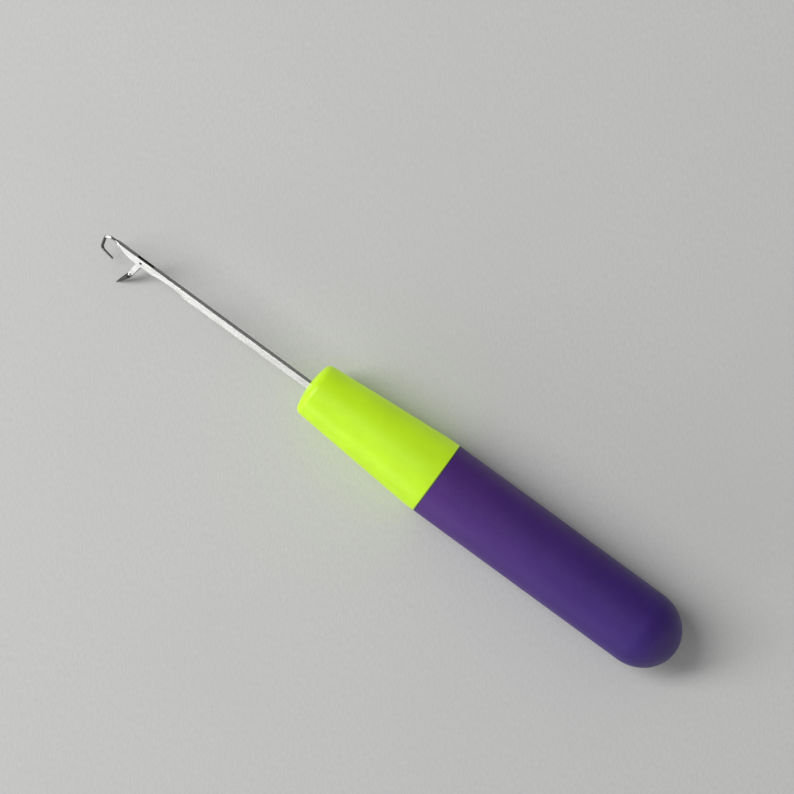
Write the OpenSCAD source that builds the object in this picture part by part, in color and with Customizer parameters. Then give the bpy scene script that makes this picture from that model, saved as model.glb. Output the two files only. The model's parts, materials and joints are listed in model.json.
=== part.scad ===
// Latch hook with a long two-piece plastic handle: a flat steel needle ends in an open hook,
// and a hinged latch with a small spoon swings between the hook's tip and the needle's back.
//
// +X runs from the hook to the rounded end of the handle, +Z is up from the table that the
// handle lies on, and the needle is rolled over so that its hook points sideways and down.

/* [Overall] */
// Length from the front of the hook to the end of the handle
overall_length = 160; // [150:0.5:180]
// Length of needle that shows in front of the handle
needle_reach = 57.3; // [48:0.1:66]
// How far the needle is rolled over to its hook side as the tool lies, in degrees
needle_roll = 51.5; // [0:0.5:54]

/* [Needle] */
// Height of the flat steel, measured in the plane of the hook
strip_height = 2.3; // [1.9:0.02:2.6]
// Thickness of the flat steel
strip_thickness = 0.96; // [0.9:0.01:1.4]
// Radius on the four long edges of the flat steel
strip_edge_r = 0.1; // [0.05:0.01:0.3]
// Length of the needle that is held inside the handle
tang_length = 26; // [18:0.5:30]
// Diameter of the half-round notches that lock the tang in the plastic
notch_d = 1; // [0.6:0.05:1.4]

/* [Hook] */
// Diameter of the round wire that the hook is bent from
wire_d = 0.7; // [0.5:0.01:0.8]
// Diameter at the rounded tip of the hook
tip_d = 0.64; // [0.4:0.01:0.7]
// Distance from the front of the hook to its tip
hook_length = 4.5; // [4:0.1:5.4]
// Height of the hook from the needle's back edge to the outside of its tip
hook_depth = 6.5; // [5.8:0.05:7.4]
// Slope of the hook's lower run, which opens away from the needle, in degrees
beard_slope = 15; // [5:0.5:20]
// Slope of the hook's front, which leans back towards the throat, in degrees
front_slant = 8.5; // [0:0.5:14]
// Bend radius between the neck and the front of the hook, to the middle of the wire
front_bend_r = 1.2; // [0.8:0.05:1.4]
// Bend radius between the front and the lower run, to the middle of the wire
lower_bend_r = 1.6; // [0.8:0.05:1.8]
// Distance from the front of the hook to where flats start to show on the round neck
neck_start = 2.6; // [2.5:0.05:3]
// Distance from the front of the hook to where the steel has its full thickness
flat_start = 4; // [3.8:0.05:5]
// Distance from the front of the hook to where the shoulder reaches the full height
shoulder_end = 9.5; // [8.5:0.1:9.8]
// Radius of the shoulder that rises from the neck to the full height
shoulder_r = 9.3; // [8:0.1:11]

/* [Latch slot] */
// Distance from the front of the hook to the rivet
pivot_reach = 10.3; // [10:0.05:11]
// Diameter of the round saw that cuts the slot
saw_d = 24.8; // [22:0.1:28]
// Length of the opening that the saw leaves in the needle's back edge
slot_breakout = 4.4; // [3.6:0.1:6]
// Distance from the rivet back to the middle of the slot
slot_offset = 0.8; // [0:0.05:1]
// Clearance on each side of the latch's blade
blade_clearance = 0.04; // [0.02:0.005:0.06]
// Depth of the recess that the thrown-back spoon lies in
recess_depth = 0.82; // [0.4:0.02:0.9]
// Diameter of the wheel that grinds the recess
recess_wheel_d = 30; // [26:0.2:36]
// Distance from the rivet back to the middle of the recess
recess_offset = 8.25; // [7.6:0.05:9.4]

/* [Latch] */
// Thickness of the latch's blade
blade_thickness = 0.42; // [0.3:0.01:0.5]
// Diameter of the round eye at the rivet
eye_d = 1.64; // [1.4:0.02:1.9]
// Length of the blade from the rivet to the spoon
blade_length = 6.05; // [5.4:0.05:6.6]
// Width of the blade where it meets the spoon
blade_end_width = 1.2; // [0.9:0.02:1.4]
// Lean of the blade towards the hook as the tool lies, from square to the needle, in degrees
latch_lean = 6; // [-20:0.2:20]
// Bend of the spoon from the blade, towards the hook, in degrees
spoon_tilt = 12; // [4:0.5:16]
// Length of the spoon
spoon_length = 5.6; // [4.4:0.05:6]
// Width of the spoon at its heel
spoon_width = 1.36; // [1.1:0.02:1.6]
// Wall of the spoon
spoon_wall = 0.18; // [0.12:0.01:0.24]
// Height of the spoon's rim above the spoon's middle line at the heel
spoon_rim = 0.5; // [0.2:0.01:0.56]
// Height of the spoon's rim above the same line at the tip
spoon_tip_rim = 0.04; // [0:0.01:0.1]

/* [Rivet] */
// Diameter of the rivet that the latch turns on
rivet_d = 0.5; // [0.4:0.01:0.6]
// Radial running clearance of the latch's eye on the rivet
rivet_clearance = 0.03; // [0.02:0.005:0.05]
// Height of the rivet's domed ends above the sides of the needle
rivet_dome = 0.05; // [0.02:0.01:0.1]

/* [Front grip] */
// Length of the front grip that shows, from its nose to the barrel
grip_length = 35.8; // [32:0.1:42]
// Diameter that the taper would have at the very front of the nose
nose_d = 12.86; // [12:0.02:15]
// Length of the straight end of the grip, next to the barrel
grip_straight = 2.4; // [1:0.1:8]
// Radius of the slightly domed face of the nose
nose_crown_r = 21; // [15:0.5:60]
// Radius of the edge around the nose
nose_edge_r = 1.8; // [0.6:0.05:2.2]
// Radius that blends the taper into the straight end of the grip
taper_blend_r = 60; // [20:5:80]
// Length of the spigot that plugs into the barrel
spigot_length = 16; // [10:0.5:24]
// Wall of the hollow spigot
spigot_wall = 1.7; // [1.2:0.05:2.4]
// Length of solid plastic behind the nose
nose_solid = 9; // [6:0.5:14]
// Diameter of the boss that holds the tang
boss_d = 4.8; // [4:0.1:6]
// Thickness of the four ribs between the boss and the wall
boss_rib = 1.2; // [0.8:0.05:2]
// Clearance of the tang in the boss
tang_clearance = 0.02; // [0.01:0.005:0.04]

/* [Rear barrel] */
// Diameter of the barrel
barrel_d = 18; // [17:0.1:20]
// Wall of the hollow barrel
barrel_wall = 1.75; // [1.4:0.05:2.4]
// Length of the domed end
dome_length = 9.8; // [8:0.1:14]
// Clearance of the spigot in the barrel
spigot_clearance = 0.05; // [0.02:0.01:0.1]
// Width of the fine groove between the grip and the barrel
seam_gap = 0.12; // [0.05:0.01:0.3]
// Radius on the two edges of that groove
seam_edge_r = 0.2; // [0.1:0.01:0.4]

/* [Hidden] */
$fn = 96;

// The large wheels that cut the slot and the recess are drawn with more segments
wheel_fn = 200;

// Distances along the tool are measured from the front of the hook
tip_x = -overall_length / 2;
axis_height = barrel_d / 2;
nose_x = needle_reach;
seam_x = nose_x + grip_length;
barrel_length = overall_length - seam_x;

// Needle and slot
half_height = strip_height / 2;
half_thick = strip_thickness / 2;
tang_end = needle_reach + tang_length;
slot_width = blade_thickness + 2 * blade_clearance;
slot_x = pivot_reach + slot_offset;
saw_r = saw_d / 2;
saw_y = sqrt(saw_r * saw_r - slot_breakout * slot_breakout / 4) - half_height;
recess_x = pivot_reach + recess_offset;
recess_y = half_height - recess_depth + recess_wheel_d / 2;

// How far a cut runs past the steel, and where the tang's notches lie as shares of its length
cut_past = 1;
notch_spots = [0.4, 0.7];

// The neck stands a little proud of the wire, so that the wire runs into solid steel
neck_skin = 0.02;
neck_height = wire_d + 2 * neck_skin;
neck_corner = sqrt(half_thick * half_thick + neck_height * neck_height / 4);

// The hook's bends and tip are a hair thicker than its straight runs, which end inside them
bend_skin = 0.005;
run_overlap = 0.06;

// Hook: a run of wire along the back, a bend, a leaning front, a bend and the beard
wire_r = wire_d / 2;
tip_r = tip_d / 2;
wire_y = wire_r + neck_skin - half_height;
front_centre = [wire_r + bend_skin + front_bend_r, wire_y + front_bend_r];
front_down = [sin(front_slant), cos(front_slant)];
front_inward = [cos(front_slant), -sin(front_slant)];
front_top = front_centre - front_bend_r * front_inward;
beard_back = [cos(beard_slope), sin(beard_slope)];
beard_inward = [sin(beard_slope), -cos(beard_slope)];
tip_centre = [hook_length - tip_r, hook_depth - half_height - tip_r];
front_offset = front_top + lower_bend_r * front_inward - tip_centre;
front_run = (lower_bend_r - front_offset * beard_inward) / (front_down * beard_inward);
front_foot = front_top + front_run * front_down;
lower_centre = front_foot + lower_bend_r * front_inward;
beard_start = lower_centre - lower_bend_r * beard_inward;
beard_length = (tip_centre - beard_start) * beard_back;

// Latch: the spoon starts a little before the end of the blade, and its bowl a little after
eye_r = eye_d / 2;
spoon_r = spoon_width / 2;
spoon_root = 0.4;
bowl_start = 0.25;
spoon_rim_slope = atan((spoon_rim - spoon_tip_rim) / spoon_length);
spoon_steps = 24;

// Powers in the spoon's outline, which make it blunt at the heel and pointed at the tip
heel_power = 0.14;
tip_power = 0.75;
widest_share = heel_power / (heel_power + tip_power);

// Front grip, as radii about the tool's axis: the nose's edge touches its domed face and the taper,
// so its middle lies on a line beside the taper, where a quadratic equation puts it
barrel_r = barrel_d / 2;
nose_r = nose_d / 2;
taper_length = grip_length - grip_straight;
taper_rise = (barrel_r - nose_r) / taper_length;
taper_angle = atan(taper_rise);
blend_reach = taper_blend_r * tan(taper_angle / 2);
edge_line = nose_r - nose_edge_r * sqrt(1 + taper_rise * taper_rise);
edge_a = 1 + taper_rise * taper_rise;
edge_b = 2 * edge_line * taper_rise - 2 * nose_crown_r;
edge_c = edge_line * edge_line + 2 * nose_crown_r * nose_edge_r - nose_edge_r * nose_edge_r;
edge_x = (-edge_b - sqrt(edge_b * edge_b - 4 * edge_a * edge_c)) / (2 * edge_a);
edge_centre = [edge_x, edge_line + taper_rise * edge_x];
edge_angle = atan2(edge_centre[1], edge_centre[0] - nose_crown_r);
bore_r = barrel_r - barrel_wall;
spigot_r = bore_r - spigot_clearance;
spigot_chamfer = 0.8;
core_r = spigot_r - spigot_wall;
boss_end_wall = 1.5;
arc_steps = 14;

// Points of an arc about a centre, from one angle to another
function arc(centre, r, from, to, steps = arc_steps) =
    [for (i = [0:steps]) let (a = from + (to - from) * i / steps) centre + r * [cos(a), sin(a)]];

// Points of a quarter of an ellipse, from its side to its end
function quarter_ellipse(x, along, across, steps) =
    [for (i = [0:steps]) let (a = 90 * i / steps) [x + along * sin(a), across * cos(a)]];

// The same points in the opposite order
function reversed(points) = [for (i = [len(points) - 1:-1:0]) points[i]];

// A shape that rises steeply from one end and falls away to the other, by share of its length
function spoon_shape(share) = pow(share, heel_power) * pow(1 - share, tip_power);

// Radius of the spoon at a share of its length, where 1 is its widest
function spoon_radius(share) = spoon_shape(share) / spoon_shape(widest_share);

// Turns an outline of [distance along, radius] points about the X axis
module turned(outline) {
    rotate([0, 90, 0])
        rotate_extrude()
            polygon([for (p = outline) [p[1], p[0]]]);
}

// Places what is drawn in the needle's own plane: X along it, Y to its hook side
module in_needle_plane() {
    translate([tip_x, 0, axis_height])
        rotate([180 + needle_roll, 0, 0])
            children();
}

// A rectangle with true round corners, about its middle
module rounded_rectangle(width, height, r) {
    square([width - 2 * r, height], center = true);
    square([width, height - 2 * r], center = true);
    for (x = [-1, 1], y = [-1, 1])
        translate([x * (width / 2 - r), y * (height / 2 - r)])
            circle(r);
}

// The flat steel between two distances, grown on every side where it cuts its own seat
module strip(from, to, grow = 0) {
    translate([from, 0, 0])
        rotate([90, 0, 90])
            linear_extrude(to - from + grow)
                rounded_rectangle(strip_height + 2 * grow, strip_thickness + 2 * grow, strip_edge_r + grow);
}

// The half-round notches in the tang's edges, or the plastic that fills them
module tang_notches(grow = 0) {
    for (spot = notch_spots, side = [-1, 1])
        translate([needle_reach + spot * tang_length, side * (half_height + grow), 0])
            cylinder(h = strip_thickness + cut_past, d = notch_d - 2 * grow, center = true);
}

// The space that the tang fills in the grip
module tang_seat() {
    difference() {
        strip(needle_reach - cut_past, tang_end, tang_clearance);
        tang_notches(tang_clearance);
    }
}

// A straight run of wire in the needle's plane, which starts inside the bend before it
module wire_run(from, direction, length, r_from, r_to) {
    translate([from[0], from[1], 0])
        rotate([0, 90, direction])
            translate([0, 0, -run_overlap])
                cylinder(h = length + run_overlap, r1 = r_from, r2 = r_to);
}

// A bend of wire in the needle's plane
module wire_bend(centre, r, from, to) {
    translate([centre[0], centre[1], 0])
        rotate([0, 0, from])
            rotate_extrude(angle = to - from)
                translate([r, 0])
                    circle(wire_r + bend_skin);
}

// The open hook: neck, front and beard, bent from one round wire
module hook() {
    wire_run([front_centre[0], wire_y], 0, flat_start - front_centre[0], wire_r, wire_r);
    wire_bend(front_centre, front_bend_r, 180 - front_slant, 270);
    wire_run(front_top, 90 - front_slant, front_run + run_overlap, wire_r, wire_r);
    wire_bend(lower_centre, lower_bend_r, 90 + beard_slope, 180 - front_slant);
    wire_run(beard_start, beard_slope, beard_length, wire_r, tip_r - bend_skin);
    translate([tip_centre[0], tip_centre[1], 0])
        sphere(tip_r);
}

// What the shoulder takes from the strip between the neck and its full height
module shoulder_cut() {
    linear_extrude(strip_thickness + 2 * cut_past, center = true)
        difference() {
            translate([neck_start - cut_past, neck_height - half_height])
                square([shoulder_end - neck_start + cut_past, strip_height + cut_past]);
            translate([shoulder_end, half_height - shoulder_r])
                circle(shoulder_r);
        }
}

// What thins the strip's two sides and turns its corners down to the round neck
module neck_cut() {
    for (side = [0, 1])
        mirror([0, 0, side])
            rotate([90, 0, 0])
                linear_extrude(strip_height + 2 * cut_past, center = true)
                    polygon([
                        [neck_start - cut_past, neck_height / 2],
                        [neck_start, neck_height / 2],
                        [flat_start, half_thick],
                        [flat_start, half_thick + cut_past],
                        [neck_start - cut_past, half_thick + cut_past]
                    ]);
    translate([neck_start, wire_y, 0])
        rotate([0, 90, 0])
            difference() {
                translate([0, 0, -cut_past])
                    cylinder(h = flat_start - neck_start + cut_past, r = strip_height);
                cylinder(h = flat_start - neck_start, r1 = neck_height / 2, r2 = neck_corner);
            }
}

// The saw's slot, which leaves a cheek on each side and breaks through the back
module slot_cut() {
    translate([slot_x, saw_y, 0])
        cylinder(h = slot_width, r = saw_r, center = true, $fn = wheel_fn);
}

// The shallow ground recess for the spoon
module recess_cut() {
    translate([recess_x, recess_y, 0])
        cylinder(h = strip_thickness + 2 * cut_past, d = recess_wheel_d, center = true, $fn = wheel_fn);
}

module needle() {
    color([0.78, 0.79, 0.8])
        in_needle_plane() {
            difference() {
                strip(neck_start, tang_end);
                tang_notches();
                shoulder_cut();
                neck_cut();
                recess_cut();
                slot_cut();
                translate([pivot_reach, 0, 0])
                    cylinder(h = strip_thickness + 2 * cut_past, d = rivet_d, center = true);
            }
            hook();
        }
}

// A spindle along X with the spoon's outline, between two distances from the end of the blade
module spindle(from, to, r) {
    turned([for (i = [0:spoon_steps])
        let (share = (1 - cos(180 * i / spoon_steps)) / 2)
            [from + share * (to - from), r * spoon_radius(share)]]);
}

// The spoon grows out of the blade, open towards the hook, with a rim that slopes to its tip
module spoon() {
    difference() {
        spindle(-spoon_root, spoon_length, spoon_r);
        spindle(bowl_start, spoon_length - spoon_wall, spoon_r - spoon_wall);
        translate([0, spoon_rim, 0])
            rotate([0, 0, -spoon_rim_slope])
                translate([-spoon_length, 0, -spoon_width])
                    cube([3 * spoon_length, spoon_width, 2 * spoon_width]);
    }
}

module latch() {
    color([0.84, 0.85, 0.86])
        in_needle_plane()
            translate([pivot_reach, 0, 0])
                rotate([0, 0, 90 + latch_lean]) {
                    linear_extrude(blade_thickness, center = true)
                        difference() {
                            union() {
                                circle(eye_r);
                                polygon([
                                    [0, -eye_r],
                                    [blade_length, -blade_end_width / 2],
                                    [blade_length, blade_end_width / 2],
                                    [0, eye_r]
                                ]);
                            }
                            circle(rivet_d / 2 + rivet_clearance);
                        }
                    translate([blade_length, 0, 0])
                        rotate([0, 0, spoon_tilt])
                            spoon();
                }
}

module latch_rivet() {
    color([0.55, 0.56, 0.57])
        in_needle_plane()
            translate([pivot_reach, 0, 0]) {
                cylinder(h = strip_thickness, d = rivet_d, center = true);
                for (side = [0, 1])
                    mirror([0, 0, side])
                        translate([0, 0, half_thick])
                            rotate_extrude()
                                polygon(concat([[0, 0]], [for (i = [0:arc_steps])
                                    let (a = 90 * i / arc_steps)
                                        [rivet_d / 2 * cos(a), rivet_dome * sin(a)]]));
            }
}

// Outline of the grip: domed nose, rounded edge, long taper, straight end, seam and spigot
module grip_outside() {
    turned(concat(
        arc([nose_crown_r, 0], nose_crown_r, 180, edge_angle),
        arc(edge_centre, nose_edge_r, edge_angle, 90 + taper_angle),
        arc([taper_length + blend_reach, barrel_r - taper_blend_r], taper_blend_r, 90 + taper_angle, 90),
        arc([grip_length - seam_gap - seam_edge_r, barrel_r - seam_edge_r], seam_edge_r, 90, 0),
        [
            [grip_length - seam_gap, spigot_r],
            [grip_length + spigot_length - spigot_chamfer, spigot_r],
            [grip_length + spigot_length, spigot_r - spigot_chamfer],
            [grip_length + spigot_length, 0]
        ]
    ));
}

// The hollow behind the nose, with the boss and its ribs left standing
module grip_core() {
    boss_length = tang_length + boss_end_wall - nose_solid;
    translate([nose_solid, 0, 0])
        rotate([0, 90, 0])
            difference() {
                cylinder(h = grip_length + spigot_length, r = core_r);
                cylinder(h = boss_length, d = boss_d);
                for (turn = [0, 90])
                    rotate([0, 0, turn])
                        translate([0, 0, boss_length / 2])
                            cube([2 * core_r + cut_past, boss_rib, boss_length], center = true);
            }
}

module front_grip() {
    color([0.75, 0.94, 0.22])
        difference() {
            translate([tip_x + nose_x, 0, axis_height])
                difference() {
                    grip_outside();
                    grip_core();
                }
            in_needle_plane()
                tang_seat();
        }
}

module rear_barrel() {
    straight = barrel_length - dome_length;
    color([0.3, 0.18, 0.44])
        translate([tip_x + seam_x, 0, axis_height])
            turned(concat(
                arc([seam_edge_r, barrel_r - seam_edge_r], seam_edge_r, 180, 90),
                quarter_ellipse(straight, dome_length, barrel_r, 2 * arc_steps),
                reversed(quarter_ellipse(straight, dome_length - barrel_wall, bore_r, 2 * arc_steps)),
                [[0, bore_r]]
            ));
}

needle();
latch();
latch_rivet();
front_grip();
rear_barrel();
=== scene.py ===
"""The looks of a long handle latch hook: its finishes, and the floor, light and camera round it."""

import json
import math

import bpy
from mathutils import Matrix, Vector


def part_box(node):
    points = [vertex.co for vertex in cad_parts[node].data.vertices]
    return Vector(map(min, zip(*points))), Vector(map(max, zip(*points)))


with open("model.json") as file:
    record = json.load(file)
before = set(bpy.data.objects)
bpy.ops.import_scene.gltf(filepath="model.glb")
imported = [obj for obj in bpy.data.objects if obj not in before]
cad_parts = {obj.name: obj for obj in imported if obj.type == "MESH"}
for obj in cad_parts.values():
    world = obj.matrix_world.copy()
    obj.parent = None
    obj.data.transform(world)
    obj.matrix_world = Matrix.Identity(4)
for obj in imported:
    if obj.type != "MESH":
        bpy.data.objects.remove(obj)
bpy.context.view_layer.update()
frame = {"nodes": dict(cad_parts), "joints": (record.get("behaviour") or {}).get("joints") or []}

# Sizes are in metres, as the frame is. MM is one millimetre.
MM = 0.001

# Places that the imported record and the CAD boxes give
latch_joint = frame["joints"][0]
RIVET = Vector(latch_joint["pos_m"])
PLATE_NORMAL = Vector(latch_joint["axis"]).normalized()
AXIS_HEIGHT = RIVET.z
TIP_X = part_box("needle")[0].x
NOSE_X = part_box("front_grip")[0].x
SEAM_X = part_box("rear_barrel")[0].x
DOME_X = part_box("rear_barrel")[1].x
TOOL_AXIS = Vector((1, 0, 0))
HOOK_SIDE = PLATE_NORMAL.cross(TOOL_AXIS)

# Places along the needle in millimetres, from the front of the hook
BEND_END = 1.3
WIRE_END = 3.2
SLOT_START = 5.0
TIP_TO_RIVET = (RIVET.x - TIP_X) / MM

# Places across the needle in millimetres, from the rivet towards the side of the hook
BACK_EDGE = -1.11
FRONT_SIDE = -0.5
BEARD_SIDE = 3.8

# Half the width of the slot, and where the painted shade round the rivet fades, in millimetres
SLOT_HALF = 0.27
RIVET_SHADE = (0.28, 0.40)

# Lengths over which one tone of the needle fades into the next, in millimetres
SLOT_FADE = 0.02
SHORT_FADE = 0.2
WIRE_FADE = 0.3
FRONT_FADE = 0.8

# The latch in millimetres from the rivet: its eye, its blade and the heel of its spoon
EYE_REACH = 1.2
EYE_FADE = 0.1
EYE_HALF = 0.82
BLADE_LENGTH = 6.05
BLADE_END_HALF = 0.6
BLADE_EDGE_SHADE = (0.14, 0.22)
SPOON_HEEL = 5.8
HEEL_FADE = 0.12
HEEL_SHADE = (0.4, 1.2)

# How far the blade and the spoon lean towards the front of the hook
BLADE_LEAN = math.radians(6)
SPOON_LEAN = math.radians(18)

# Length of the handle's end that takes a painted sheen, and where the painted shade along its seam
# fades, in millimetres
END_SHEEN_LENGTH = 8.0
SEAM_SHADE = (0.14, 0.32)

# How fully each painted shade covers the colour under it, how strong the barrel's painted end sheen
# is, and how much smoother the hook is
SLOT_SHADE_COVER = 0.95
EYE_SHADE_COVER = 0.95
BLADE_EDGE_SHADE_COVER = 0.9
SEAM_SHADE_COVER = 0.85
BARREL_END_SHEEN = 0.35
HOOK_SMOOTHING = 0.12

# Colours as red, green and blue from 0 to 255: the needle
NEEDLE_BRIGHT = (246, 246, 245)
NEEDLE_DULL = (226, 225, 222)
# The hook's tones are painted reflection: grey on the neck and dark on the front, where the polished
# wire mirrors the dim room, pale on the top bend to carry its highlight, and lighter grey on the
# beard
WIRE_REFLECTION_GREY = (158, 157, 157)
TOP_BEND_HIGHLIGHT_PALE = (236, 235, 233)
FRONT_REFLECTION_GREY = (94, 93, 94)
BEARD_REFLECTION_GREY = (186, 185, 185)
# Painted shade in the slot and round the rivet
SLOT_SHADE_COLOUR = (26, 25, 24)

# The latch
LATCH_BRIGHT = (246, 246, 246)
LATCH_DULL = (226, 225, 223)
# Painted shade along the blade's edge, painted dark reflection on the spoon and its heel, and painted
# shade round the eye
BLADE_EDGE_SHADE_COLOUR = (52, 51, 52)
HEEL_DARK_REFLECTION = (56, 55, 56)
SPOON_DARK_REFLECTION = (90, 89, 90)
EYE_SHADE_COLOUR = (34, 32, 31)

# Wear on all steel, and the rivet
STEEL_WORN = (246, 244, 240)
STEEL_PIT = (130, 128, 124)
RIVET_PALE = (74, 72, 71)
RIVET_DARK = (48, 46, 45)
RIVET_WORN = (120, 118, 115)

# The handle
# Front and rear colours of each part: it darkens towards its rear as painted light falloff from the
# window's side
GRIP_FRONT = (171, 212, 20)
GRIP_REAR = (167, 208, 20)
GRIP_PALE = (214, 240, 140)
# The colour of the grip's painted glow
GRIP_GLOW = (190, 230, 20)
BARREL_FRONT = (72, 33, 115)
BARREL_REAR = (50, 25, 111)
# Pale for scuffs and worn edges, and for the painted sheen on the barrel's end
BARREL_PALE = (128, 108, 160)
# Painted shade along the seam's gap
SEAM_SHADE_COLOUR = (42, 34, 44)

# Roughness of each surface
STEEL_ROUGHNESS = 0.34
GRIP_ROUGHNESS = 0.42
BARREL_ROUGHNESS = 0.48
FLOOR_ROUGHNESS = 0.7

# The steel's brushed shine, as share and as part of a turn, and the plastic's shine
STEEL_BRUSHED = 0.6
STEEL_BRUSHED_TURN = 0.25
PLASTIC_IOR = 1.49
PLASTIC_SHINE = 0.42

# How strongly the grip's fluorescent plastic glows with a painted light of its own, which fills its
# shaded side, and lets light through
GRIP_GLOW_STRENGTH = 0.29
GRIP_SUBSURFACE = 0.5
GRIP_SUBSURFACE_DEPTH = 2 * MM

# Directions of the fine scratches, in degrees about Z and about Y
STEEL_SCRATCHES = [(8, 0), (-14, 25), (38, -12)]
PLASTIC_SCRATCHES = [(12, 4), (-21, 16), (64, -9), (-48, 30)]

# The camera: straight above the tool, turned so that the hook lies at the upper left
VIEW_TURN = math.radians(36.17)
VIEW_DISTANCE = 2.2
VIEW_CENTRE = Vector((-5.0, 9.52, 0)) * MM
VIEW_WIDTH = 179.8 * MM
SENSOR_MM = 36
NEAREST_SEEN = 0.01

# The light: a long slanted window, and a pale wall on the hook's side
KEY_DIRECTION = Vector((-0.625, -0.224, 0.755))
KEY_ALONG = Vector((0.42, 0.72, 0.56))
KEY_DISTANCE = 1.3
KEY_LENGTH = 1.15
KEY_WIDTH = 0.40
KEY_WATTS = 13.6
WALL_DISTANCE = 0.7
WALL_WIDTH = 0.72
WALL_SHIFT = -0.375
WALL_HEIGHT = 0.32
WALL_WATTS = 2.35

# The room: even light from all round, and a dim screen and ceiling that only reflections show
ROOM_COLOUR = (1.0, 0.995, 0.985, 1.0)
ROOM_FILL = 0.333
ROOM_SEEN = 0.55
SCREEN_DISTANCE = 0.45
SCREEN_SIZE = 1.6
CEILING_HEIGHT = 0.95
CEILING_SIZE = 1.7
CEILING_CENTRE = Vector((0.45, 0.40))
DIM_LEVEL = 0.06

# The floor: its grain runs at GRAIN_TURN degrees, and it turns evenly pale from near to far
FLOOR_SIZE = 6.0
FLOOR_CENTRE = Vector((0, 0))
FLOOR_COLOUR = (0.56, 0.56, 0.555)
FLOOR_CONTRAST = 0.05
FLOOR_SHINE = 0.25
FLOOR_NEAR = 0.16
FLOOR_FAR = 0.6
GRAIN_TURN = -111.4


def srgb(colour):
    """A colour given as 0 to 255, as linear values with full alpha."""
    linear = []
    for value in colour:
        share = value / 255
        linear.append(share / 12.92 if share <= 0.04045 else ((share + 0.055) / 1.055) ** 2.4)
    return (*linear, 1.0)


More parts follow.
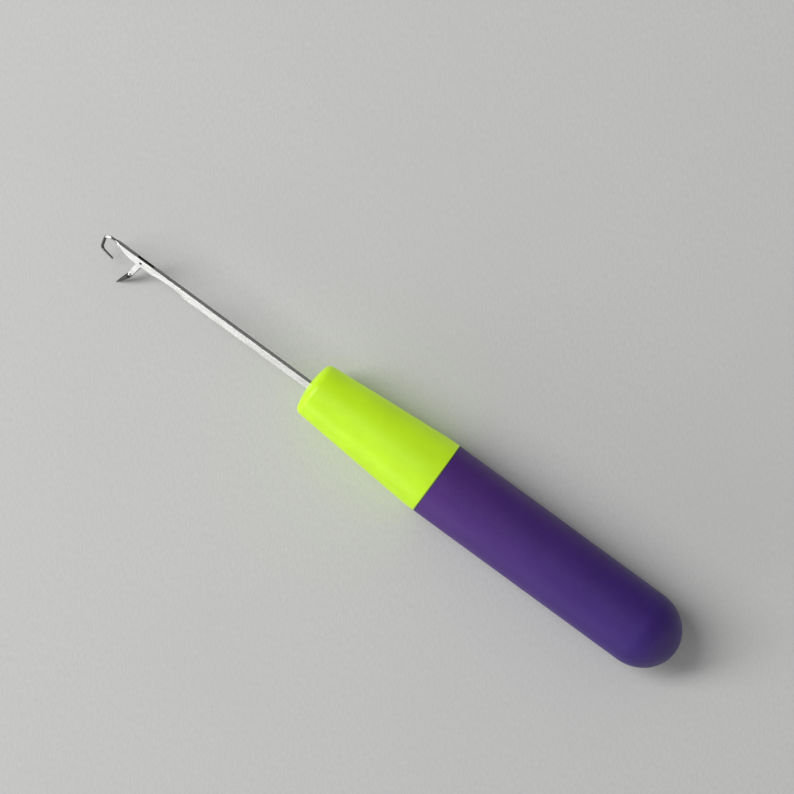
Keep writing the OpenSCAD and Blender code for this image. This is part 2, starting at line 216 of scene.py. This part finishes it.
class Finish:
    """A node material, with short calls for the nodes that the finishes share."""

    # Places of the colour sockets on Blender's mix node
    MIX_A, MIX_B, MIX_RESULT = 6, 7, 2

    # How far a rounded normal agrees with the real one on a flat face and on a sharp edge
    FLAT_AGREEMENT, EDGE_AGREEMENT = 0.999, 0.93
    EDGE_SAMPLES = 6

    # Scratches fade in over a short step of the noise. Each direction takes another part of it.
    SCRATCH_FADE = 0.05
    SCRATCH_SHIFT = 17.0

    def __init__(self, name):
        self.material = bpy.data.materials.new(name)
        self.material.use_nodes = True
        self.nodes = self.material.node_tree.nodes
        self.links = self.material.node_tree.links
        self.shader = self.nodes["Principled BSDF"]
        coordinates = self.nodes.new("ShaderNodeTexCoord").outputs["Object"]
        self.place_mm = self.vector_math("SCALE", coordinates, scale=1 / MM)

    def put(self, socket, value):
        """Links value to a socket if it is one, or sets it as the socket's own number or colour."""
        if isinstance(value, bpy.types.NodeSocket):
            self.links.new(value, socket)
        else:
            socket.default_value = value

    def math(self, operation, a, b=0.0, clamp=False):
        node = self.nodes.new("ShaderNodeMath")
        node.operation = operation
        node.use_clamp = clamp
        self.put(node.inputs[0], a)
        self.put(node.inputs[1], b)
        return node.outputs[0]

    def times(self, a, b):
        return self.math("MULTIPLY", a, b)

    def vector_math(self, operation, a, b=None, scale=None):
        node = self.nodes.new("ShaderNodeVectorMath")
        node.operation = operation
        self.put(node.inputs[0], a)
        if b is not None:
            self.put(node.inputs[1], b)
        if scale is not None:
            node.inputs["Scale"].default_value = scale
        return node.outputs["Value" if operation in ("DOT_PRODUCT", "LENGTH") else "Vector"]

    def from_rivet(self):
        """The place in millimetres from the middle of the rivet."""
        return self.vector_math("SUBTRACT", self.place_mm, RIVET / MM)

    def noise(self, per_mm, turn=(0, 0, 0), detail=3.0, roughness=0.5, shift=0.0):
        """Noise from 0 to 1, with per_mm waves along each axis after the turn, in degrees."""
        mapping = self.nodes.new("ShaderNodeMapping")
        mapping.vector_type = "POINT"
        self.put(mapping.inputs["Vector"], self.place_mm)
        mapping.inputs["Rotation"].default_value = [math.radians(angle) for angle in turn]
        spread = self.vector_math("MULTIPLY", mapping.outputs["Vector"], Vector(per_mm))
        moved = self.vector_math("ADD", spread, Vector((shift, shift, shift)))
        texture = self.nodes.new("ShaderNodeTexNoise")
        self.put(texture.inputs["Vector"], moved)
        texture.inputs["Scale"].default_value = 1.0
        texture.inputs["Detail"].default_value = detail
        texture.inputs["Roughness"].default_value = roughness
        return texture.outputs["Fac"]

    def spread(self, value, low, high, to_low=0.0, to_high=1.0, smooth=True):
        """value from low to high becomes to_low to to_high, and stays at the ends beyond them."""
        node = self.nodes.new("ShaderNodeMapRange")
        node.interpolation_type = "SMOOTHSTEP" if smooth else "LINEAR"
        for socket, given in zip(node.inputs, (value, low, high, to_low, to_high)):
            self.put(socket, given)
        return node.outputs["Result"]

    def mix(self, share, a, b, blend="MIX"):
        """Colour a at share 0 and colour b at share 1."""
        node = self.nodes.new("ShaderNodeMix")
        node.data_type = "RGBA"
        node.blend_type = blend
        self.put(node.inputs["Factor"], share)
        self.put(node.inputs[self.MIX_A], a)
        self.put(node.inputs[self.MIX_B], b)
        return node.outputs[self.MIX_RESULT]

    def split(self, vector):
        node = self.nodes.new("ShaderNodeSeparateXYZ")
        self.put(node.inputs[0], vector)
        return node.outputs

    def edges(self, radius):
        """1 on sharp edges, 0 on flat or gently curved faces."""
        bevel = self.nodes.new("ShaderNodeBevel")
        bevel.samples = self.EDGE_SAMPLES
        bevel.inputs["Radius"].default_value = radius
        normal = self.nodes.new("ShaderNodeNewGeometry").outputs["Normal"]
        facing = self.vector_math("DOT_PRODUCT", bevel.outputs["Normal"], normal)
        return self.spread(facing, self.FLAT_AGREEMENT, self.EDGE_AGREEMENT)

    def bump(self, height, distance, strength, under=None):
        node = self.nodes.new("ShaderNodeBump")
        node.inputs["Strength"].default_value = strength
        node.inputs["Distance"].default_value = distance
        self.put(node.inputs["Height"], height)
        if under is not None:
            self.put(node.inputs["Normal"], under)
        return node.outputs["Normal"]

    def scratches(self, directions, spacing, length, depth):
        """Sparse fine scratches: thin noise lines along each direction, in degrees about Z and Y."""
        total = 0.0
        for number, (about_z, about_y) in enumerate(directions):
            lines = self.noise(
                per_mm=(1 / length, 1 / spacing, 1 / spacing),
                turn=(0, about_y, about_z),
                detail=1.0,
                shift=self.SCRATCH_SHIFT * (number + 1),
            )
            total = self.math("ADD", total, self.spread(lines, depth, depth + self.SCRATCH_FADE))
        return self.math("MINIMUM", total, 1.0)


def plated_steel(name, colour, dull_colour, wear):
    """Nickel-plated steel with draw lines along X, faint stains, fine scratches and worn edges."""
    finish = Finish(name)
    shader = finish.shader
    draw_lines = finish.noise(per_mm=(0.04, 5.0, 5.0), detail=3.0, roughness=0.6)
    fine_lines = finish.noise(per_mm=(0.2, 16.0, 16.0), detail=2.0, shift=5.0)
    stains = finish.noise(per_mm=(0.25, 0.9, 0.9), detail=4.0, roughness=0.6, shift=9.0)
    pits = finish.noise(per_mm=(3.0, 3.5, 3.5), detail=2.0, shift=31.0)
    pit = finish.spread(pits, 0.74, 0.80)
    marks = finish.scratches(STEEL_SCRATCHES, spacing=0.14, length=3.0, depth=0.72)
    edge = finish.edges(0.06 * MM)

    base = finish.mix(finish.spread(stains, 0.40, 0.75), colour, dull_colour)
    lined = finish.mix(finish.spread(draw_lines, 0.35, 0.75, 0.0, 0.22), base, dull_colour)
    pitted = finish.mix(finish.times(pit, 0.2), lined, srgb(STEEL_PIT))
    worn = finish.mix(finish.times(edge, wear), pitted, srgb(STEEL_WORN))
    finish.put(shader.inputs["Base Color"], worn)

    smoothest, roughest = STEEL_ROUGHNESS - 0.05, STEEL_ROUGHNESS + 0.07
    rough = finish.spread(draw_lines, 0.3, 0.7, smoothest, roughest)
    rough = finish.math("ADD", rough, finish.times(marks, 0.10))
    rough = finish.math("SUBTRACT", rough, finish.times(edge, 0.08), clamp=True)
    finish.put(shader.inputs["Roughness"], rough)

    shader.inputs["Metallic"].default_value = 1.0
    shader.inputs["Anisotropic"].default_value = STEEL_BRUSHED
    shader.inputs["Anisotropic Rotation"].default_value = STEEL_BRUSHED_TURN
    along = finish.nodes.new("ShaderNodeVectorTransform")
    along.vector_type = "VECTOR"
    along.convert_from = "OBJECT"
    along.convert_to = "WORLD"
    along.inputs["Vector"].default_value = TOOL_AXIS
    finish.put(shader.inputs["Tangent"], along.outputs["Vector"])

    normal = finish.bump(draw_lines, distance=0.003 * MM, strength=0.4)
    normal = finish.bump(fine_lines, distance=0.001 * MM, strength=0.4, under=normal)
    normal = finish.bump(finish.times(marks, -1.0), distance=0.002 * MM, strength=0.5, under=normal)
    normal = finish.bump(finish.times(pit, -1.0), distance=0.004 * MM, strength=0.5, under=normal)
    finish.put(shader.inputs["Normal"], normal)
    return finish


def needle_finish():
    """The needle: bright flats, a grey wire and a dark hook as painted reflection, and painted shade
    in the slot and round the rivet.
    """
    finish = plated_steel("needle_nickel", srgb(NEEDLE_BRIGHT), srgb(NEEDLE_DULL), wear=0.5)
    shader = finish.shader
    from_rivet = finish.from_rivet()
    along = finish.split(from_rivet)[0]
    from_tip = finish.math("ADD", along, TIP_TO_RIVET)
    to_hook = finish.vector_math("DOT_PRODUCT", from_rivet, HOOK_SIDE)
    off_plane = finish.math("ABSOLUTE", finish.vector_math("DOT_PRODUCT", from_rivet, PLATE_NORMAL))
    # Painted shade round the rivet
    squared = finish.math("ADD", finish.times(along, along), finish.times(to_hook, to_hook))
    painted_shade = finish.spread(finish.math("SQRT", squared), *RIVET_SHADE, 1.0, 0.0)

    # Where the painted reflection on the hook's wire goes: grey on the neck, pale on the top bend,
    # dark on the front and lighter on the beard
    wire = finish.spread(from_tip, WIRE_END, WIRE_END + WIRE_FADE, 1.0, 0.0)
    top_bend = finish.spread(from_tip, BEND_END, BEND_END + WIRE_FADE, 1.0, 0.0)
    front = finish.times(wire, finish.spread(to_hook, FRONT_SIDE, FRONT_SIDE + FRONT_FADE))
    beard = finish.spread(to_hook, BEARD_SIDE, BEARD_SIDE + SHORT_FADE)
    bent = finish.math("MAXIMUM", front, beard)

    # Painted shade inside the slot
    past_start = finish.spread(from_tip, SLOT_START, SLOT_START + SHORT_FADE)
    inside = finish.spread(off_plane, SLOT_HALF, SLOT_HALF + SLOT_FADE, 1.0, 0.0)
    off_back = finish.spread(to_hook, BACK_EDGE, BACK_EDGE + SLOT_FADE)
    slot_shade = finish.times(finish.times(past_start, inside), off_back)

    colour = shader.inputs["Base Color"].links[0].from_socket
    for share, tone in (
        (wire, WIRE_REFLECTION_GREY),
        (top_bend, TOP_BEND_HIGHLIGHT_PALE),
        (front, FRONT_REFLECTION_GREY),
        (beard, BEARD_REFLECTION_GREY),
        (finish.math("MAXIMUM", painted_shade, finish.times(slot_shade, SLOT_SHADE_COVER)), SLOT_SHADE_COLOUR),
    ):
        colour = finish.mix(share, colour, srgb(tone))
    finish.put(shader.inputs["Base Color"], colour)
    rough = shader.inputs["Roughness"].links[0].from_socket
    smoother = finish.times(bent, HOOK_SMOOTHING)
    finish.put(shader.inputs["Roughness"], finish.math("SUBTRACT", rough, smoother, clamp=True))
    return finish.material


def latch_finish():
    """The latch: a bright blade with painted shade along one edge, a painted dark reflection on its
    spoon, darkest at the heel, and painted shade round its eye.
    """
    finish = plated_steel("latch_nickel", srgb(LATCH_BRIGHT), srgb(LATCH_DULL), wear=0.4)
    shader = finish.shader
    from_rivet = finish.from_rivet()
    reach = finish.vector_math("LENGTH", from_rivet)
    # Painted shade round the eye
    eye_shade = finish.spread(reach, EYE_REACH - EYE_FADE, EYE_REACH, EYE_SHADE_COVER, 0.0)
    spoon_reflection = finish.spread(reach, SPOON_HEEL, SPOON_HEEL + HEEL_FADE)

    down_blade = HOOK_SIDE * math.cos(BLADE_LEAN) - TOOL_AXIS * math.sin(BLADE_LEAN)
    across_blade = TOOL_AXIS * math.cos(BLADE_LEAN) + HOOK_SIDE * math.sin(BLADE_LEAN)
    down = finish.vector_math("DOT_PRODUCT", from_rivet, down_blade)
    across = finish.vector_math("DOT_PRODUCT", from_rivet, across_blade)
    half = finish.spread(down, 0.0, BLADE_LENGTH, EYE_HALF, BLADE_END_HALF, smooth=False)
    from_edge = finish.math("SUBTRACT", half, across)
    # Painted shade along the blade's edge
    edge_shade = finish.spread(from_edge, *BLADE_EDGE_SHADE, BLADE_EDGE_SHADE_COVER, 0.0)

    down_spoon = HOOK_SIDE * math.cos(SPOON_LEAN) - TOOL_AXIS * math.sin(SPOON_LEAN)
    heel_place = BLADE_LENGTH * math.cos(SPOON_LEAN - BLADE_LEAN)
    from_eye = finish.vector_math("DOT_PRODUCT", from_rivet, down_spoon)
    from_heel = finish.math("SUBTRACT", from_eye, heel_place)
    past_heel = finish.spread(from_heel, *HEEL_SHADE)

    colour = shader.inputs["Base Color"].links[0].from_socket
    colour = finish.mix(edge_shade, colour, srgb(BLADE_EDGE_SHADE_COLOUR))
    # Painted dark reflection on the spoon, darker at its heel
    colour = finish.mix(spoon_reflection, colour, finish.mix(past_heel, srgb(HEEL_DARK_REFLECTION), srgb(SPOON_DARK_REFLECTION)))
    finish.put(shader.inputs["Base Color"], finish.mix(eye_shade, colour, srgb(EYE_SHADE_COLOUR)))
    return finish.material


def rivet_finish():
    """Plain steel, dark, dull and grainy, with a little wear on its edges."""
    finish = Finish("rivet_dull_steel")
    shader = finish.shader
    grain = finish.noise(per_mm=(14.0, 14.0, 14.0), detail=3.0)
    blotch = finish.noise(per_mm=(3.0, 3.0, 3.0), detail=2.0, shift=4.0)
    base = finish.mix(finish.spread(blotch, 0.35, 0.7), srgb(RIVET_PALE), srgb(RIVET_DARK))
    edge = finish.edges(0.03 * MM)
    worn = finish.mix(finish.times(edge, 0.3), base, srgb(RIVET_WORN))
    finish.put(shader.inputs["Base Color"], worn)
    finish.put(shader.inputs["Roughness"], finish.spread(grain, 0.3, 0.7, 0.42, 0.62))
    shader.inputs["Metallic"].default_value = 1.0
    finish.put(shader.inputs["Normal"], finish.bump(grain, distance=0.004 * MM, strength=0.6))
    return finish.material


def moulded_plastic(name, colour, far_colour, pale_colour, span, roughness, end_sheen=0.0):
    """Satin moulded plastic: its colour drifts along X over span, darker towards the far end as
    painted light falloff, with mottling, grain and scuffs, and end_sheen of painted sheen on its far
    end.
    """
    finish = Finish(name)
    shader = finish.shader
    along_x = finish.split(finish.place_mm)[0]
    start, end = span[0] / MM, span[1] / MM
    painted_falloff = finish.spread(along_x, start, end, smooth=False)
    mottle = finish.noise(per_mm=(0.12, 0.16, 0.16), detail=3.0, roughness=0.55)
    speckle = finish.noise(per_mm=(2.2, 2.2, 2.2), detail=2.0, shift=3.0)
    grain = finish.noise(per_mm=(5.0, 7.0, 7.0), detail=3.0, roughness=0.6, shift=7.0)
    handling = finish.noise(per_mm=(0.07, 0.2, 0.2), detail=4.0, roughness=0.6, shift=13.0)
    marks = finish.scratches(PLASTIC_SCRATCHES, spacing=0.11, length=7.0, depth=0.72)
    rubbed = finish.spread(handling, 0.50, 0.66)
    marks = finish.times(marks, finish.math("ADD", 0.35, rubbed, clamp=True))
    edge = finish.edges(0.25 * MM)

    # Painted light falloff: darker towards the far end
    base = finish.mix(painted_falloff, colour, far_colour)
    deeper = finish.mix(1.0, base, (0.86, 0.86, 0.88, 1.0), blend="MULTIPLY")
    base = finish.mix(finish.spread(mottle, 0.35, 0.68, 0.0, 0.55), base, deeper)
    # Painted sheen on the far end, stronger along the scratches
    end_sheen_share = finish.spread(along_x, end - END_SHEEN_LENGTH, end, 0.0, end_sheen)
    for share in (
        finish.spread(speckle, 0.6, 0.8, 0.0, 0.10),
        finish.times(marks, 0.16),
        finish.times(edge, 0.30),
        finish.times(end_sheen_share, finish.math("ADD", 0.5, marks)),
    ):
        base = finish.mix(share, base, pale_colour)
    # Painted shade along the seam's gap
    from_seam = finish.math("ABSOLUTE", finish.math("SUBTRACT", along_x, SEAM_X / MM))
    painted_shade = finish.spread(from_seam, *SEAM_SHADE, SEAM_SHADE_COVER, 0.0)
    finish.put(shader.inputs["Base Color"], finish.mix(painted_shade, base, srgb(SEAM_SHADE_COLOUR)))

    rough = finish.spread(handling, 0.32, 0.7, roughness + 0.06, roughness - 0.05)
    rough = finish.math("ADD", rough, finish.times(marks, 0.14))
    rough = finish.math("ADD", rough, finish.spread(speckle, 0.4, 0.8, 0.0, 0.04), clamp=True)
    finish.put(shader.inputs["Roughness"], rough)
    shader.inputs["IOR"].default_value = PLASTIC_IOR
    shader.inputs["Specular IOR Level"].default_value = PLASTIC_SHINE

    normal = finish.bump(grain, distance=0.012 * MM, strength=0.35)
    normal = finish.bump(mottle, distance=0.06 * MM, strength=0.3, under=normal)
    normal = finish.bump(finish.times(marks, -1.0), distance=0.01 * MM, strength=0.5, under=normal)
    finish.put(shader.inputs["Normal"], normal)
    return finish


def grip_finish():
    """Fluorescent plastic: a painted glow of its own fills its shaded side."""
    finish = moulded_plastic(
        "grip_yellow_green",
        srgb(GRIP_FRONT),
        srgb(GRIP_REAR),
        srgb(GRIP_PALE),
        (NOSE_X, SEAM_X),
        GRIP_ROUGHNESS,
    )
    inputs = finish.shader.inputs
    inputs["Subsurface Weight"].default_value = GRIP_SUBSURFACE
    inputs["Subsurface Radius"].default_value = (1.0, 1.0, 0.5)
    inputs["Subsurface Scale"].default_value = GRIP_SUBSURFACE_DEPTH
    inputs["Emission Color"].default_value = srgb(GRIP_GLOW)
    inputs["Emission Strength"].default_value = GRIP_GLOW_STRENGTH
    return finish.material


def barrel_finish():
    return moulded_plastic(
        "barrel_purple",
        srgb(BARREL_FRONT),
        srgb(BARREL_REAR),
        srgb(BARREL_PALE),
        (SEAM_X, DOME_X),
        BARREL_ROUGHNESS,
        end_sheen=BARREL_END_SHEEN,
    ).material


def dress(node, material):
    """Gives a CAD node its finish, with its mesh as it is."""
    mesh = frame["nodes"][node].data
    mesh.materials.clear()
    mesh.materials.append(material)


def make_camera():
    data = bpy.data.cameras.new("camera")
    data.sensor_width = SENSOR_MM
    data.lens = SENSOR_MM * VIEW_DISTANCE / VIEW_WIDTH
    data.clip_start = NEAREST_SEEN
    camera = bpy.data.objects.new("camera", data)
    camera.location = VIEW_CENTRE + Vector((0, 0, AXIS_HEIGHT + VIEW_DISTANCE))
    camera.rotation_euler = (0, 0, VIEW_TURN)
    bpy.context.scene.collection.objects.link(camera)
    bpy.context.scene.camera = camera


def area_lamp(name, place, along, width, height, watts):
    """A white rectangle of light with its width along one way, turned to the origin and unseen."""
    data = bpy.data.lights.new(name, "AREA")
    data.shape = "RECTANGLE"
    data.size = width
    data.size_y = height
    data.energy = watts
    lamp = bpy.data.objects.new(name, data)
    lamp.location = place
    back = place.normalized()
    side = (along - back * along.dot(back)).normalized()
    lamp.rotation_euler = Matrix((side, back.cross(side), back)).transposed().to_euler()
    lamp.visible_camera = False
    bpy.context.scene.collection.objects.link(lamp)


def make_lamps():
    key = KEY_DIRECTION.normalized() * KEY_DISTANCE
    area_lamp("window", key, KEY_ALONG, KEY_LENGTH, KEY_WIDTH, KEY_WATTS)
    wall = Vector((WALL_SHIFT, -WALL_DISTANCE, WALL_HEIGHT / 2))
    level = Vector((WALL_DISTANCE, WALL_SHIFT, 0))
    area_lamp("pale_wall", wall, level, WALL_WIDTH, WALL_HEIGHT, WALL_WATTS)


def seen_directly(tree):
    """1 where the camera looks, straight or by reflection or through glass, 0 for falling light."""
    path = tree.nodes.new("ShaderNodeLightPath")
    seen = path.outputs["Is Camera Ray"]
    for kind in ("Is Glossy Ray", "Is Transmission Ray"):
        either = tree.nodes.new("ShaderNodeMath")
        either.operation = "MAXIMUM"
        tree.links.new(seen, either.inputs[0])
        tree.links.new(path.outputs[kind], either.inputs[1])
        seen = either.outputs[0]
    return seen


def make_world():
    """Even light from all round, which looks pale to the camera and in reflections."""
    world = bpy.data.worlds.new("room")
    world.use_nodes = True
    bpy.context.scene.world = world
    tree = world.node_tree
    background = tree.nodes["Background"]
    background.inputs["Color"].default_value = ROOM_COLOUR
    strength = tree.nodes.new("ShaderNodeMapRange")
    tree.links.new(seen_directly(tree), strength.inputs["Value"])
    strength.inputs["To Min"].default_value = ROOM_FILL
    strength.inputs["To Max"].default_value = ROOM_SEEN
    tree.links.new(strength.outputs["Result"], background.inputs["Strength"])


def plane(name, corners, material):
    mesh = bpy.data.meshes.new(name)
    mesh.from_pydata(corners, [], [(0, 1, 2, 3)])
    mesh.materials.append(material)
    made = bpy.data.objects.new(name, mesh)
    bpy.context.scene.collection.objects.link(made)
    return made


def level_corners(centre, size, height):
    """The corners of a level square."""
    half = size / 2
    ways = ((-1, -1), (1, -1), (1, 1), (-1, 1))
    return [(centre.x + x * half, centre.y + y * half, height) for x, y in ways]


def floor_finish():
    """A pale grey sheet with a faint grain. Far from the tool the camera sees it evenly pale."""
    finish = Finish("floor_pale_grey")
    shader = finish.shader
    grain = finish.noise(per_mm=(0.8, 3.0, 1.0), turn=(0, 0, GRAIN_TURN), roughness=0.6)
    cloud = finish.noise(per_mm=(0.02, 0.02, 0.02), detail=2.0, shift=2.0)
    paler = (*[value * (1 + FLOOR_CONTRAST) for value in FLOOR_COLOUR], 1.0)
    darker = (*[value * (1 - FLOOR_CONTRAST) for value in FLOOR_COLOUR], 1.0)
    colour = finish.mix(finish.spread(grain, 0.3, 0.7), darker, paler)
    colour = finish.mix(finish.spread(cloud, 0.3, 0.7, 0.0, 0.3), colour, darker)
    finish.put(shader.inputs["Base Color"], colour)
    shader.inputs["Roughness"].default_value = FLOOR_ROUGHNESS
    shader.inputs["Specular IOR Level"].default_value = FLOOR_SHINE
    finish.put(shader.inputs["Normal"], finish.bump(grain, distance=0.02 * MM, strength=0.4))

    away = finish.vector_math("LENGTH", finish.place_mm)
    far = finish.spread(away, FLOOR_NEAR / MM, FLOOR_FAR / MM)
    seen = seen_directly(finish.material.node_tree)
    glow = finish.nodes.new("ShaderNodeEmission")
    glow.inputs["Color"].default_value = (*FLOOR_COLOUR, 1.0)
    both = finish.nodes.new("ShaderNodeMixShader")
    finish.put(both.inputs[0], finish.times(far, seen))
    finish.put(both.inputs[1], shader.outputs[0])
    finish.put(both.inputs[2], glow.outputs[0])
    finish.put(finish.nodes["Material Output"].inputs["Surface"], both.outputs[0])
    return finish.material


def dim_finish():
    """An even dim glow, for what the tool's shaded side reflects."""
    dim = bpy.data.materials.new("dim_room")
    dim.use_nodes = True
    tree = dim.node_tree
    tree.nodes.clear()
    glow = tree.nodes.new("ShaderNodeEmission")
    glow.inputs["Strength"].default_value = DIM_LEVEL
    output = tree.nodes.new("ShaderNodeOutputMaterial")
    tree.links.new(glow.outputs[0], output.inputs["Surface"])
    return dim


def make_stage():
    plane("floor", level_corners(FLOOR_CENTRE, FLOOR_SIZE, 0), floor_finish())
    dim = dim_finish()
    left, right = -SCREEN_SIZE / 2, SCREEN_SIZE / 2
    upright = [
        (left, SCREEN_DISTANCE, 0),
        (right, SCREEN_DISTANCE, 0),
        (right, SCREEN_DISTANCE, CEILING_HEIGHT),
        (left, SCREEN_DISTANCE, CEILING_HEIGHT),
    ]
    overhead = level_corners(CEILING_CENTRE, CEILING_SIZE, CEILING_HEIGHT)
    for card in (plane("dim_screen", upright, dim), plane("dim_ceiling", overhead, dim)):
        card.visible_camera = False
        card.visible_diffuse = False
        card.visible_shadow = False
        card.visible_transmission = False


make_camera()
make_lamps()
make_world()
make_stage()
dress("needle", needle_finish())
dress("latch", latch_finish())
dress("latch_rivet", rivet_finish())
dress("front_grip", grip_finish())
dress("rear_barrel", barrel_finish())

bpy.context.scene.view_settings.view_transform = "Standard"
